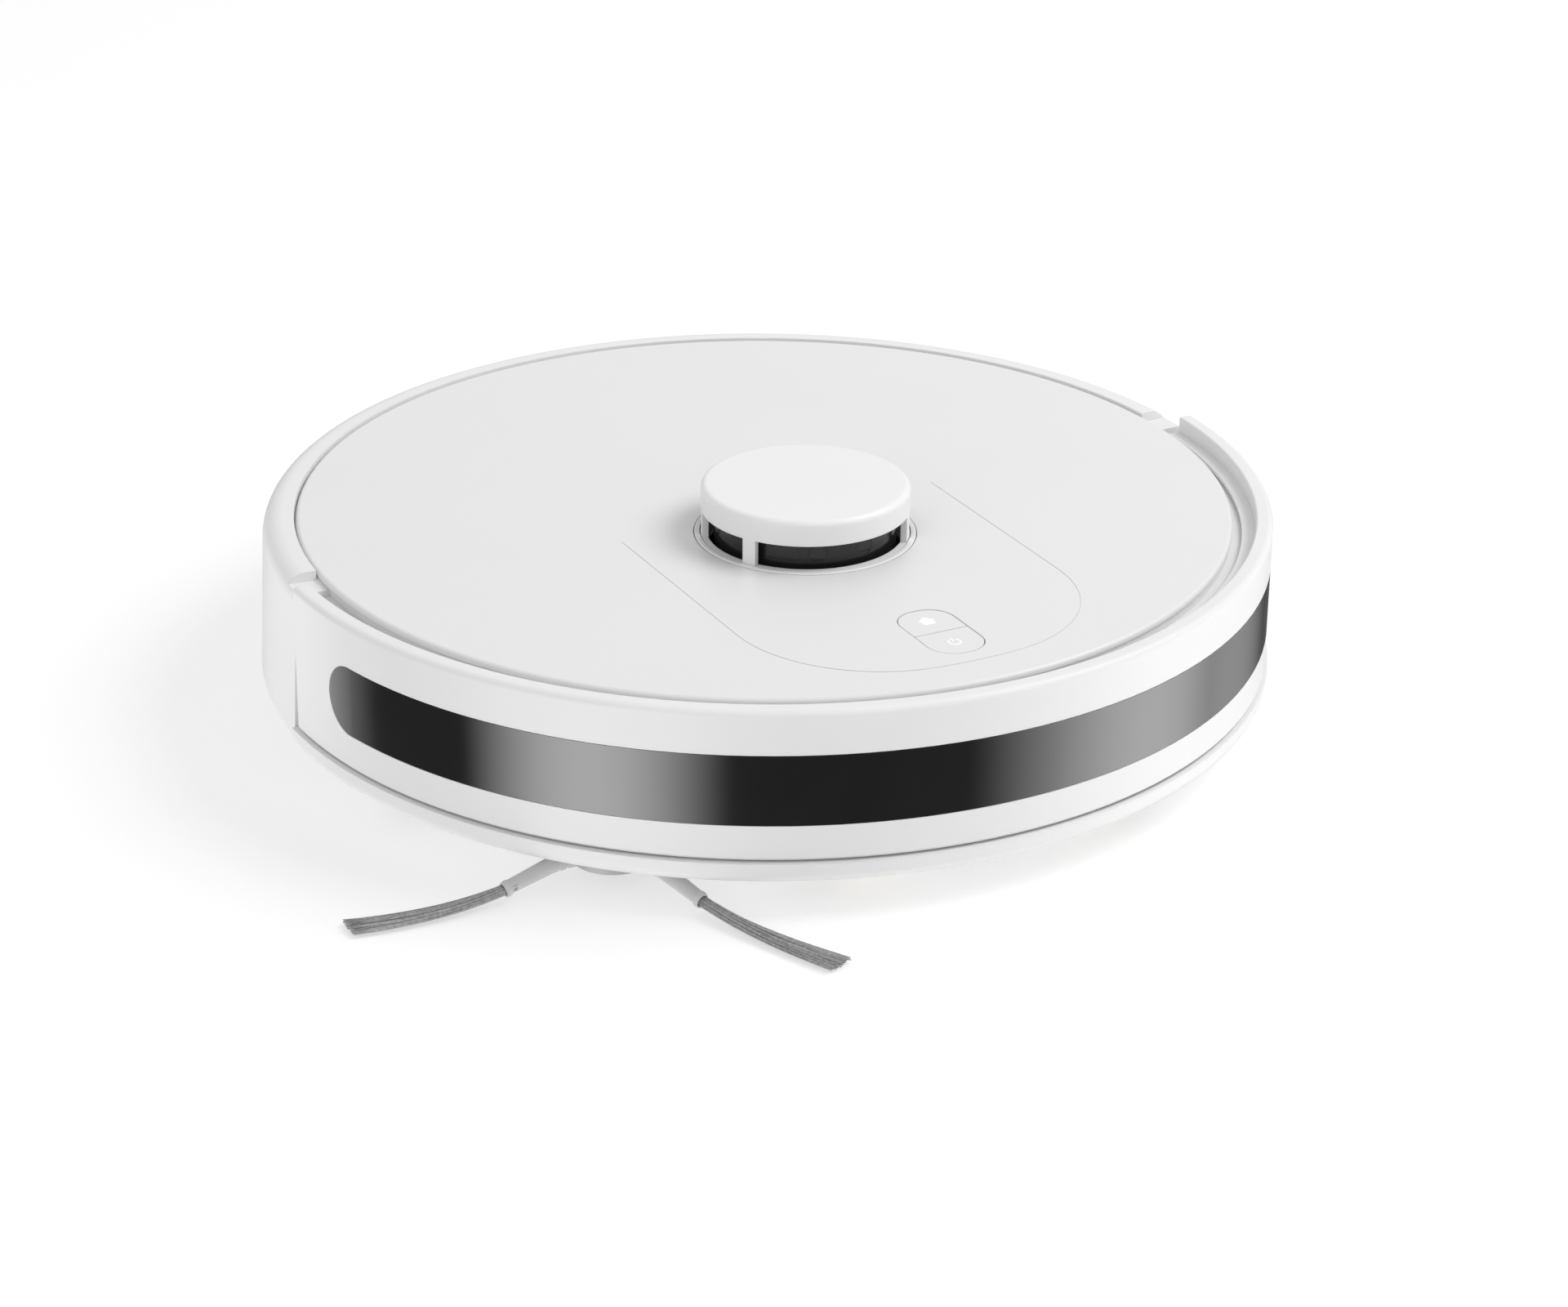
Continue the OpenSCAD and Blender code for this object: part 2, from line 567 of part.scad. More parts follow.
module arm() difference() {
    union() {
        rod_x(8.2, arm_x, arm_x + arm_t, pivot_y, pivot_z, 48);
        rod_x(8, arm_x, arm_x + arm_t, wheel_y, wheel_z, 48);
        translate([arm_x, pivot_y, pivot_z]) rotate([atan2(wheel_z - pivot_z, wheel_y - pivot_y), 0, 0])
            translate([0, 0, -7.4]) cube([arm_t, norm([wheel_z - pivot_z, wheel_y - pivot_y]), 14.8]);
        block([100, -15, 33], [104, -11, 53]);
    }
    rod_x(2.06, arm_x - 1, arm_x + arm_t + 1, pivot_y, pivot_z);
    rod_x(2.55, arm_x - 1, arm_x + arm_t + 1, wheel_y, wheel_z);
}

module drive_motor() {
    rod_x(9, 83.5, arm_x - 0.1, -8, 30, 48);
    rod_x(3.5, 82.2, 83.6, -8, 30);
}

module axle() rod_x(2.5, arm_x + 1, wheel_x + 10.5, wheel_y, wheel_z);

module hub() translate([wheel_x, wheel_y, wheel_z]) rotate([0, 90, 0]) difference() {
    union() {
        rotate_extrude($fn = 96) polygon([[0, -10], [7, -10], [7, -2], [20, -2], [20, -10], [24, -10], [24, 10],
            [20, 10], [20, 2], [7, 2], [7, 8.5], [0, 8.5]]);
        for (i = [0 : 4]) rotate(i * 72) block([6.5, -1.5, -8], [20.5, 1.5, 8]);
    }
    translate([0, 0, -11]) cylinder(r = 2.55, h = 21.5 - 1.5);
}

module tyre() translate([wheel_x, wheel_y, wheel_z]) rotate([0, 90, 0]) difference() {
    rotate_extrude($fn = 96) polygon([[24.05, -tyre_w / 2 + 0.5], [28, -tyre_w / 2], [29, -tyre_w / 2 + 0.4],
        [tyre_r, -tyre_w / 2 + 3], [tyre_r, tyre_w / 2 - 3], [29, tyre_w / 2 - 0.4], [28, tyre_w / 2],
        [24.05, tyre_w / 2 - 0.5]]);
    for (i = [0 : 23], s = [-1, 1]) rotate(i * 15 + (s + 1) * 3.75 + 3.75)
        translate([tyre_r - 1.6, -1.5, s * 6.5 - 5]) cube([3, 3, 10]);
}

module arm_spring() translate([102, -10.8, 50]) closed_spring(3, 1.25, 35);

module left_wheel_housing() color("gray") wheel_housing();
module right_wheel_housing() color("gray") side(-1) wheel_housing();
module pivot_pins() color("silver") for (s = [-1, 1]) side(s) rod_x(2, 91.6, 110.9, pivot_y, pivot_z);
module left_arm() color("dimgray") arm();
module right_arm() color("dimgray") side(-1) arm();
module left_motor() color("silver") drive_motor();
module right_motor() color("silver") side(-1) drive_motor();
module left_axle() color("silver") axle();
module right_axle() color("silver") side(-1) axle();
module left_hub() color("gray") hub();
module right_hub() color("gray") side(-1) hub();
module left_tyre() color([0.1, 0.1, 0.1]) tyre();
module right_tyre() color([0.1, 0.1, 0.1]) side(-1) tyre();
module left_spring() color("silver") arm_spring();
module right_spring() color("silver") side(-1) arm_spring();

// ---------- caster ----------

module caster_socket() color("gray") translate([0, -caster_y, 0]) difference() {
    translate([0, 0, frame_z]) cylinder(r = 23, h = 20.4, $fn = 64);
    translate([0, 0, frame_z - 1]) cylinder(r = 20, h = 16, $fn = 64);
    translate([0, 0, 20]) cylinder(r = 3.05, h = 20);
}

module caster_fork() color("dimgray") translate([0, -caster_y, 0]) {
    difference() {
        union() {
            translate([0, 0, 25]) cylinder(r = 17, h = 2.4, $fn = 48);
            for (s = [-1, 1]) side(s) block([7, caster_trail - 4.5, caster_r - 4], [9.4, caster_trail + 4.5, 26]);
        }
        translate([0, caster_trail, caster_r]) rotate([0, 90, 0]) cylinder(r = 1.25, h = 30, center = true);
    }
    translate([0, 0, 27]) cylinder(r = 3, h = 7.6);
    translate([0, caster_trail, caster_r]) rotate([0, 90, 0]) cylinder(r = 1.3, h = 18.4, center = true);
}

module caster_wheel() color([0.15, 0.15, 0.15]) translate([0, -caster_y + caster_trail, caster_r])
    rotate([0, 90, 0]) difference() {
        rotate_extrude($fn = 64) polygon([[0, -6], [caster_r - 2.5, -6], [caster_r, -4.2], [caster_r, 4.2],
            [caster_r - 2.5, 6], [0, 6]]);
        cylinder(r = 1.35, h = 20, center = true);
        for (s = [-1, 1]) translate([0, 0, s * 6]) difference() {
            cylinder(r = 8, h = 3, center = true);
            cylinder(r = 3, h = 4, center = true);
        }
    }

// ---------- roller brush ----------

module brush_housing() color("lightgray") difference() {
    union() {
        block([-roller_bay - 2, bay_y0 - 2, frame_z], [roller_bay, bay_y1 + 2, 46.5]);
        block([-mouth_w / 2 - 2, bay_y1, mouth_z[0] - 2], [mouth_w / 2 + 2, bin_y - 0.4, mouth_z[1] + 2]);
    }
    rod_x(22.8, -roller_bay + 2, roller_bay + 1, roller_y, roller_z, 64);
    block([-roller_bay + 2, roller_y - 22.4, frame_z - 1], [roller_bay + 1, roller_y + 22.4, roller_z]);
    rod_x(3.05, -roller_bay - 3, -roller_bay + 3, roller_y, roller_z);
    block([-mouth_w / 2, roller_y + 15, mouth_z[0]], [mouth_w / 2, bin_y + 1, mouth_z[1]]);
}

module brush_guard() color("gray") {
    difference() {
        block([-roller_bay - 5, bay_y0 - 5, deck_z - 2.2], [roller_bay + 5, bay_y1 + 4, deck_z - gap / 2]);
        block([-78, roller_y - 20.5, 0], [78, roller_y + 20.5, deck_z + 1]);
        for (s = [-1, 1]) block([s * 74 - 7, bay_y0 - 3.6, 0], [s * 74 + 7, bay_y0 - 1, deck_z + 1]);
    }
    block([-74, bay_y1 - 1, 2], [74, bay_y1 + 0.4, deck_z - 2]);
}

module brush_gearbox() color("dimgray") {
    difference() {
        block([roller_bay + 0.3, 32, frame_z], [106.5, 68, 61]);
        rod_x(4.05, roller_bay - 1, roller_bay + 12, roller_y, roller_z);
    }
    rod_x(7, 44, roller_bay + 1, 56, 54, 48);
}

module brush_core() color("dimgray") {
    rod_x(9, -roller_l / 2 - 1, roller_l / 2 + 2, roller_y, roller_z, 48);
    rod_x(3, -roller_bay - 1.5, -roller_l / 2, roller_y, roller_z);
    rod_x(4, roller_l / 2, roller_bay + 10, roller_y, roller_z);
}

// Six strips in a shallow V along the roller
module brush_strips() color([0.2, 0.2, 0.22]) {
    step = roller_l / 8;
    for (k = [0 : 5], i = [0 : 7]) translate([-roller_l / 2 + i * step, roller_y, roller_z])
        rotate([k * 60 + abs(i - 3.5) * 4.5, 0, 0])
            translate([0, k % 2 == 0 ? -1.2 : -1.8, 9.2])
                cube([step + 0.4, k % 2 == 0 ? 2.4 : 3.6, roller_r - 9.25]);
}

// ---------- side brush ----------

module side_place() translate([-side_x, -side_y, 0]) children();

// Gear case with the motor's end, towards the body's centre
module side_gearbox() color("dimgray") side_place() difference() {
    translate([0, 0, frame_z]) linear_extrude(18) {
        circle(7.5);
        rotate(atan2(side_y, side_x)) {
            translate([0, -6.4]) square([30, 12.8]);
            translate([30, 0]) circle(12, $fn = 48);
        }
    }
    translate([0, 0, frame_z - 1]) cylinder(r = 4.05, h = 14);
}

module side_hub() color("lightgray") side_place() difference() {
    union() {
        rotate_extrude($fn = 48) polygon([[0, 4.8], [11, 4.8], [14, 6.4], [14, deck_z - 0.6], [0, deck_z - 0.6]]);
        cylinder(r = 4, h = 26);
    }
    translate([0, 0, -1]) cylinder(r = 30, h = 5.8);
    translate([0, 0, 4]) cylinder(r = 3, h = 4);
    translate([0, 0, 6]) cylinder(r = 1.4, h = 13);
    for (i = [0 : 2]) rotate(arm_turn + i * 120) sleeve(3.2, 0.3);
}

// One rubber sleeve, sloping down from the hub, with its radius and the grip's clearance
module sleeve(r, e) translate([10 - e, 0, 8.4]) rotate([0, 90 + 6.7, 0]) cylinder(r = r, h = 30 + e, $fn = 24);

module side_screw() color("silver") side_place() screw(6.6, 1.3, 2.8, 10);

module side_sleeves() color("silver") side_place()
    for (i = [0 : 2]) rotate(arm_turn + i * 120) sleeve(3, 0);

module side_bristles() color("gray") side_place()
    for (i = [0 : 2]) rotate(arm_turn + i * 120) hull() {
        translate([40.9, 0, 4.9]) cube([1, 4.5, 3], center = true);
        translate([66, 0, 2.6]) cube([1, 9, 2], center = true);
        translate([bristle_r - 0.6, 0, 1.5]) cube([1, 15, 1.4], center = true);
    }

// ---------- dustbin ----------

// Part of the dustbin between two heights, with the rear wall's lean on its outer face
module bin_block(x, y0, y1, z0, z1, r) intersection() {
    block([-x, y0, z0], [x, y1, z1]);
    translate([0, 0, z0 - 1])
        cylinder(r1 = r - lean(z0 - 1), r2 = r - lean(z1 + 1), h = z1 - z0 + 2, $fn = ring_fn);
}

module dustbin() color([0.75, 0.76, 0.78]) difference() {
    union() {
        bin_block(bin_w / 2, bin_y, body_r + 1, bin_floor, bin_top - 2.4, body_r - 0.1);
        bin_block(bin_w / 2, 147, body_r + 1, bin_floor, bin_top, body_r - 0.1);
    }
    block([-bin_w / 2 + 1.6, bin_y + 1.6, bin_floor + 1.6], [bin_w / 2 - 1.6, 145.4, bin_top]);
    bin_block(bin_w / 2 - 4, 149, body_r, bin_floor + 1.6, bin_top - 2.6, body_r - 3.2);
    // air inlet, filter window and the latch's opening
    block([-mouth_w / 2, bin_y - 1, mouth_z[0]], [mouth_w / 2, bin_y + 3, mouth_z[1]]);
    block([-bin_w / 2 - 1, 94, 28], [-bin_w / 2 + 3, 110, 44]);
    block([-18.4, 160, latch_z - 5.4], [18.4, body_r + 1, latch_z + 5.4]);
}

module bin_lid() color([0.85, 0.86, 0.88]) difference() {
    block([-bin_w / 2, bin_y, bin_top - 2.3], [bin_w / 2, 146.8, bin_top]);
    block([-30, 84, bin_top - 0.8], [30, 100, bin_top + 1]);
}

module filter() color("ivory") {
    for (i = [0 : 9]) block([-bin_w / 2 + 2.4, 88.5 + i * 2.8, 24.4], [-bin_w / 2 + 9, 90 + i * 2.8, 47.6]);
    difference() {
        block([-bin_w / 2 + 1.8, 86, 22], [-bin_w / 2 + 9.6, 118, 50]);
        block([-bin_w / 2 + 1, 88, 24], [-bin_w / 2 + 10, 116, 48]);
    }
}

module bin_latch() color("gainsboro") {
    difference() {
        bin_block(18, 150, body_r, latch_z - 5, latch_z + 5, body_r - 0.1);
        translate([0, 0, latch_z - 9]) cylinder(r = body_r - 5.5, h = 18, $fn = ring_fn);
    }
    difference() {
        bin_block(22, 150, body_r, latch_z - 8, latch_z + 8, body_r - 3.6);
        translate([0, 0, latch_z - 9]) cylinder(r = body_r - 6, h = 18, $fn = ring_fn);
    }
}

// ---------- the nodes ----------

base_chassis();
upper_frame();
top_plate();
turret_ring();
turret_cap();
lidar_base();
lidar_rotor();
lidar_lenses();
lidar_motor();
lidar_pulley();
lidar_belt();
button_board();
power_button();
home_button();
bumper();
bumper_window();
bumper_springs();
bump_sensors();
main_board();
battery_pack();
battery_cover();
chassis_screws();
charge_contacts();
cliff_windows();
speaker();
fan_housing();
fan_motor();
fan_impeller();
left_wheel_housing();
right_wheel_housing();
pivot_pins();
left_arm();
right_arm();
left_motor();
right_motor();
left_axle();
right_axle();
left_hub();
right_hub();
left_tyre();
right_tyre();
left_spring();
right_spring();
caster_socket();
caster_fork();
caster_wheel();
brush_housing();
brush_guard();
brush_gearbox();
brush_core();
brush_strips();
side_gearbox();
side_hub();
side_screw();
side_sleeves();
side_bristles();
dustbin();
bin_lid();
filter();
bin_latch();
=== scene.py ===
import math
import random

import bpy
from mathutils import Matrix, Vector


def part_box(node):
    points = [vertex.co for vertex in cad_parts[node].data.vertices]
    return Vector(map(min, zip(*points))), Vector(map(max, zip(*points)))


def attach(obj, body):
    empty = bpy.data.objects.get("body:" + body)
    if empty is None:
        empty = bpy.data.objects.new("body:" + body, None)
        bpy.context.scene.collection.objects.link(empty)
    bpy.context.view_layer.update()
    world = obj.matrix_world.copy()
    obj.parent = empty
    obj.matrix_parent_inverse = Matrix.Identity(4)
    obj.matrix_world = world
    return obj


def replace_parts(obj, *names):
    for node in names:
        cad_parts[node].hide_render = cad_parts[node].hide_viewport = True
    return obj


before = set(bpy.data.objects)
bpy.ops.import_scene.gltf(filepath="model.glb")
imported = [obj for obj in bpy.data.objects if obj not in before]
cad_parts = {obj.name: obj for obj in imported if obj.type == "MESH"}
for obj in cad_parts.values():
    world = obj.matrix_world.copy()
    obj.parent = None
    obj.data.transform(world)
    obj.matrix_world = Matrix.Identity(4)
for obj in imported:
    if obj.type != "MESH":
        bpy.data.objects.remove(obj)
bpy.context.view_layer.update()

MM = 0.001
rng = random.Random(7)


# ---------------------------------------------------------------- camera, light and floor

VIEW_AZ = -27.7                                     # the camera stands on the machine's right-front side
VIEW_EL = 24.51
VIEW_ROLL = 0.48
VIEW_DISTANCE = 1.411                               # metres
AIM = Vector((0, 0, 14 * MM))
LENS = 92.1                                         # focal length in mm
SENSOR_WIDTH = 36
FRAMING_SHIFT = (0.0133, -0.0044)
CLIP_RANGE = (0.05, 60)

# each area light: direction in degrees, distance and size in metres, power in watts
LIGHTS = {
    "key": {"azimuth": 66, "elevation": 50, "distance": 3.0, "size": 1.8, "power": 46},
    "fill": {"azimuth": -62, "elevation": 20, "distance": 3.0, "size": 2.5, "power": 9},
}
LIGHT_AIM = Vector((0, 0, 40 * MM))

AMBIENT = 0.66                                      # brightness of the even studio light
ROOM = 0.13                                         # what a low reflection sees between the soft boxes
CEILING = 0.9                                       # what a high reflection sees
HORIZON = (-0.02, 0.08)                             # the room turns to ceiling between these heights
# azimuth, half width and brightness of each soft box
SOFT_BOXES = ((-66, 32, 6.6), (56, 37, 3.6), (84, 46, 1.5), (-154, 31, 2.4))
SOFT_BOX_FALL = 1.5                                 # how steeply a box fades towards its edge

FLOOR_REACH = 12                                    # metres
FLOOR_DROP = 0.3 * MM                               # keeps the floor just clear of the wheels and bristles
FLOOR_GREY = 0.5
FLOOR_GLOW = 0.52                                   # its own light, which keeps the cast shadow faint


def direction(azimuth, elevation):
    """Unit vector towards a direction: azimuth 0 is the machine's front, -Y, and grows towards +X."""
    a, e = math.radians(azimuth), math.radians(elevation)
    return Vector((math.sin(a) * math.cos(e), -math.cos(a) * math.cos(e), math.sin(e)))


def add_camera():
    data = bpy.data.cameras.new("camera")
    data.sensor_width = SENSOR_WIDTH
    data.lens = LENS
    data.shift_x, data.shift_y = FRAMING_SHIFT
    data.clip_start, data.clip_end = CLIP_RANGE
    cam = bpy.data.objects.new("camera", data)
    bpy.context.scene.collection.objects.link(cam)
    back = direction(VIEW_AZ, VIEW_EL)
    cam.matrix_world = (Matrix.Translation(AIM + back * VIEW_DISTANCE)
                        @ (-back).to_track_quat("-Z", "Y").to_matrix().to_4x4()
                        @ Matrix.Rotation(math.radians(VIEW_ROLL), 4, "Z"))
    bpy.context.scene.camera = cam


def add_area(name, azimuth, elevation, distance, size, power):
    data = bpy.data.lights.new(name, "AREA")
    data.shape = "DISK"
    data.size = size
    data.energy = power
    lamp = bpy.data.objects.new(name, data)
    bpy.context.scene.collection.objects.link(lamp)
    lamp.location = LIGHT_AIM + direction(azimuth, elevation) * distance
    lamp.rotation_mode = "QUATERNION"
    lamp.rotation_quaternion = (-direction(azimuth, elevation)).to_track_quat("-Z", "Y")


class Nodes:
    """Short-hand for building a node tree."""

    def __init__(self, tree):
        self.tree = tree
        tree.nodes.clear()

    def add(self, kind, inputs=None, **settings):
        node = self.tree.nodes.new(kind)
        for key, value in settings.items():
            setattr(node, key, value)
        for key, value in (inputs or {}).items():
            socket = node.inputs[key]
            if isinstance(value, bpy.types.NodeSocket):
                self.tree.links.new(value, socket)
            else:
                socket.default_value = value
        return node

    def math(self, operation, a, b=0.0):
        return self.add("ShaderNodeMath", {0: a, 1: b}, operation=operation).outputs[0]

    def ramp(self, value, low, high, out_low, out_high):
        return self.add("ShaderNodeMapRange", {"Value": value, "From Min": low, "From Max": high,
                                               "To Min": out_low, "To Max": out_high}).outputs[0]

    def mix(self, factor, a, b):
        node = self.add("ShaderNodeMix", data_type="RGBA")
        for socket, value in ((node.inputs[0], factor), (node.inputs[6], a), (node.inputs[7], b)):
            if isinstance(value, bpy.types.NodeSocket):
                self.tree.links.new(value, socket)
            else:
                socket.default_value = value
        return node.outputs[2]


def add_world():
    """A bright even studio. Only reflections see its dark room, with soft boxes below the horizon."""
    world = bpy.data.worlds.new("studio")
    bpy.context.scene.world = world
    world.use_nodes = True
    n = Nodes(world.node_tree)
    out = n.add("ShaderNodeOutputWorld")
    towards = n.add("ShaderNodeTexCoord").outputs["Generated"]
    flat = n.add("ShaderNodeVectorMath", {0: towards, 1: (1, 1, 0)}, operation="MULTIPLY").outputs[0]
    flat = n.add("ShaderNodeVectorMath", {0: flat}, operation="NORMALIZE").outputs[0]
    low = ROOM
    for azimuth, half_width, brightness in SOFT_BOXES:
        near = n.add("ShaderNodeVectorMath", {0: flat, 1: tuple(direction(azimuth, 0))},
                     operation="DOT_PRODUCT").outputs["Value"]
        inside = n.ramp(near, math.cos(math.radians(half_width)), 1, 0, 1)
        box = n.math("MULTIPLY", n.math("POWER", inside, SOFT_BOX_FALL), brightness)
        low = n.math("ADD", low, box)
    height = n.add("ShaderNodeSeparateXYZ", {0: towards}).outputs["Z"]
    up = n.ramp(height, *HORIZON, 0, 1)
    mirror = n.add("ShaderNodeMix", {0: up}, data_type="FLOAT")
    n.tree.links.new(low, mirror.inputs[2])
    mirror.inputs[3].default_value = CEILING
    is_mirror = n.add("ShaderNodeLightPath").outputs["Is Glossy Ray"]
    strength = n.add("ShaderNodeMix", {0: is_mirror}, data_type="FLOAT")
    strength.inputs[2].default_value = AMBIENT
    n.tree.links.new(mirror.outputs[0], strength.inputs[3])
    back = n.add("ShaderNodeBackground", {"Color": (1, 1, 1, 1), "Strength": strength.outputs[0]})
    n.tree.links.new(back.outputs[0], out.inputs[0])


def add_floor():
    mesh = bpy.data.meshes.new("floor")
    corners = ((-1, -1), (1, -1), (1, 1), (-1, 1))
    mesh.from_pydata([(x * FLOOR_REACH, y * FLOOR_REACH, 0) for x, y in corners], [], [(0, 1, 2, 3)])
    floor = bpy.data.objects.new("floor", mesh)
    bpy.context.scene.collection.objects.link(floor)
    floor.location.z = -FLOOR_DROP
    mat = bpy.data.materials.new("floor")
    mat.use_nodes = True
    n = Nodes(mat.node_tree)
    shader = n.add("ShaderNodeBsdfPrincipled", {
        "Base Color": (FLOOR_GREY, FLOOR_GREY, FLOOR_GREY, 1), "Roughness": 0.9, "Specular IOR Level": 0.0,
        "Emission Color": (1, 1, 1, 1), "Emission Strength": FLOOR_GLOW})
    n.tree.links.new(shader.outputs[0], n.add("ShaderNodeOutputMaterial").inputs[0])
    mesh.materials.append(mat)
    floor.visible_glossy = False


# ---------------------------------------------------------------- materials

MATERIALS = {}


def surface(name, build):
    """Makes a material once; build(n, coord) returns the shader's inputs."""
    if name in MATERIALS:
        return MATERIALS[name]
    mat = bpy.data.materials.new(name)
    mat.use_nodes = True
    n = Nodes(mat.node_tree)
    coord = n.add("ShaderNodeTexCoord").outputs["Object"]
    shader = n.add("ShaderNodeBsdfPrincipled", build(n, coord))
    n.tree.links.new(shader.outputs[0], n.add("ShaderNodeOutputMaterial").inputs[0])
    MATERIALS[name] = mat
    return mat


def noise(n, coord, scale, detail=3.0, roughness=0.5, stretch=None):
    if stretch:
        coord = n.add("ShaderNodeMapping", {"Vector": coord, "Scale": stretch}).outputs[0]
    return n.add("ShaderNodeTexNoise", {"Vector": coord, "Scale": scale, "Detail": detail,
                                        "Roughness": roughness}).outputs[0]


def tint(colour, factor=1.0):
    """A colour made darker or paler, as a shader takes it."""
    return (colour[0] * factor, colour[1] * factor, colour[2] * factor, 1.0)


def plastic(name, colour, rough, grain=0.3, grain_scale=1600, edge=0.0004, vary=0.02, spread=0.05,
            specular=0.5, ior=1.48, scratches=0.0):
    """Moulded plastic: a fine spark texture, slight mottling, and rounded edges and corners."""

    def build(n, coord):
        cloud = noise(n, coord, 22, 4)
        fine = noise(n, coord, grain_scale, 2)
        base = n.mix(n.ramp(cloud, 0.3, 0.7, 0, 1), tint(colour, 1 - vary), tint(colour, 1 + vary * 0.4))
        roughness = n.ramp(cloud, 0.3, 0.7, rough - spread, rough + spread)
        if scratches:
            lines = noise(n, coord, 90, 6, 0.7, stretch=(1, 14, 1))
            roughness = n.math("ADD", roughness, n.ramp(lines, 0.62, 0.75, 0, scratches))
        rounded = n.add("ShaderNodeBevel", {"Radius": edge}, samples=4).outputs[0]
        bump = n.add("ShaderNodeBump", {"Height": fine, "Strength": grain, "Distance": 0.00003,
                                        "Normal": rounded})
        return {"Base Color": base, "Roughness": roughness, "Normal": bump.outputs[0],
                "Specular IOR Level": specular, "IOR": ior}

    return surface(name, build)


def metal(name, colour, rough, stretch=(1, 1, 30), edge=0.0002):
    """Turned or drawn metal with fine lines along one direction."""

    def build(n, coord):
        lines = noise(n, coord, 300, 4, 0.6, stretch=stretch)
        base = n.mix(n.ramp(lines, 0.3, 0.7, 0, 1), tint(colour, 0.82), tint(colour, 1.08))
        rounded = n.add("ShaderNodeBevel", {"Radius": edge}, samples=4).outputs[0]
        roughness = n.ramp(lines, 0.3, 0.7, rough - 0.07, rough + 0.1)
        bump = n.add("ShaderNodeBump", {"Height": lines, "Strength": 0.2, "Distance": 0.00002,
                                        "Normal": rounded})
        return {"Base Color": base, "Metallic": 1.0, "Roughness": roughness, "Normal": bump.outputs[0]}

    return surface(name, build)


def rubber(name, colour, rough=0.6, dust=0.3):
    """Soft rubber with a bloom of dust in its mottling."""

    def build(n, coord):
        cloud = noise(n, coord, 60, 5, 0.6)
        fine = noise(n, coord, 2500, 2)
        base = n.mix(n.ramp(cloud, 0.45, 0.8, 0, dust), tint(colour), tint(colour, 1.6))
        rounded = n.add("ShaderNodeBevel", {"Radius": 0.0003}, samples=4).outputs[0]
        roughness = n.ramp(cloud, 0.3, 0.7, rough - 0.06, rough + 0.12)
        bump = n.add("ShaderNodeBump", {"Height": fine, "Strength": 0.35, "Distance": 0.00003,
                                        "Normal": rounded})
        return {"Base Color": base, "Roughness": roughness, "Normal": bump.outputs[0],
                "Specular IOR Level": 0.35}

    return surface(name, build)


def board(name, board_top):
    """Solder mask with fine tracks. What stands above the board's face is black moulding compound."""

    def build(n, coord):
        tracks = n.add("ShaderNodeTexBrick", {
            "Vector": coord, "Color1": (0.01, 0.13, 0.05, 1), "Color2": (0.012, 0.16, 0.06, 1),
            "Mortar": (0.05, 0.3, 0.12, 1), "Scale": 260.0, "Mortar Size": 0.03, "Brick Width": 1.7}).outputs[0]
        dots = n.add("ShaderNodeTexVoronoi", {"Vector": coord, "Scale": 320.0}).outputs["Distance"]
        pads = n.mix(n.ramp(dots, 0.10, 0.16, 1, 0), tracks, (0.6, 0.55, 0.4, 1))
        height = n.add("ShaderNodeSeparateXYZ", {0: coord}).outputs["Z"]
        base = n.mix(n.math("GREATER_THAN", height, board_top), pads, (0.03, 0.03, 0.03, 1))
        return {"Base Color": base, "Roughness": n.ramp(dots, 0, 0.5, 0.3, 0.45)}

    return surface(name, build)


def pleats(name, colour):
    def build(n, coord):
        weave = noise(n, coord, 1800, 3, 0.7)
        base = n.mix(n.ramp(weave, 0.3, 0.7, 0, 1), tint(colour, 0.86), tint(colour))
        bump = n.add("ShaderNodeBump", {"Height": weave, "Strength": 0.6, "Distance": 0.0001})
        return {"Base Color": base, "Roughness": 0.9, "Normal": bump.outputs[0], "Specular IOR Level": 0.1}

    return surface(name, build)


def nylon(name, colour):
    """Bristle filaments, a little paler here and there."""

    def build(n, coord):
        streak = noise(n, coord, 900, 2)
        base = n.mix(n.ramp(streak, 0.3, 0.7, 0, 1), tint(colour, 0.75), tint(colour, 1.25))
        return {"Base Color": base, "Roughness": n.ramp(streak, 0.3, 0.7, 0.35, 0.5),
                "Specular IOR Level": 0.5}

    return surface(name, build)


def lens_glass(name):
    def build(n, coord):
        smear = noise(n, coord, 400, 3)
        return {"Base Color": (0.012, 0.012, 0.014, 1), "Roughness": n.ramp(smear, 0.3, 0.7, 0.12, 0.2)}

    return surface(name, build)


WHITE = (0.80, 0.80, 0.80)
MAIN_BOARD_TOP = 23.65 * MM                         # heights just above the boards' faces
BUTTON_BOARD_TOP = 64.05 * MM


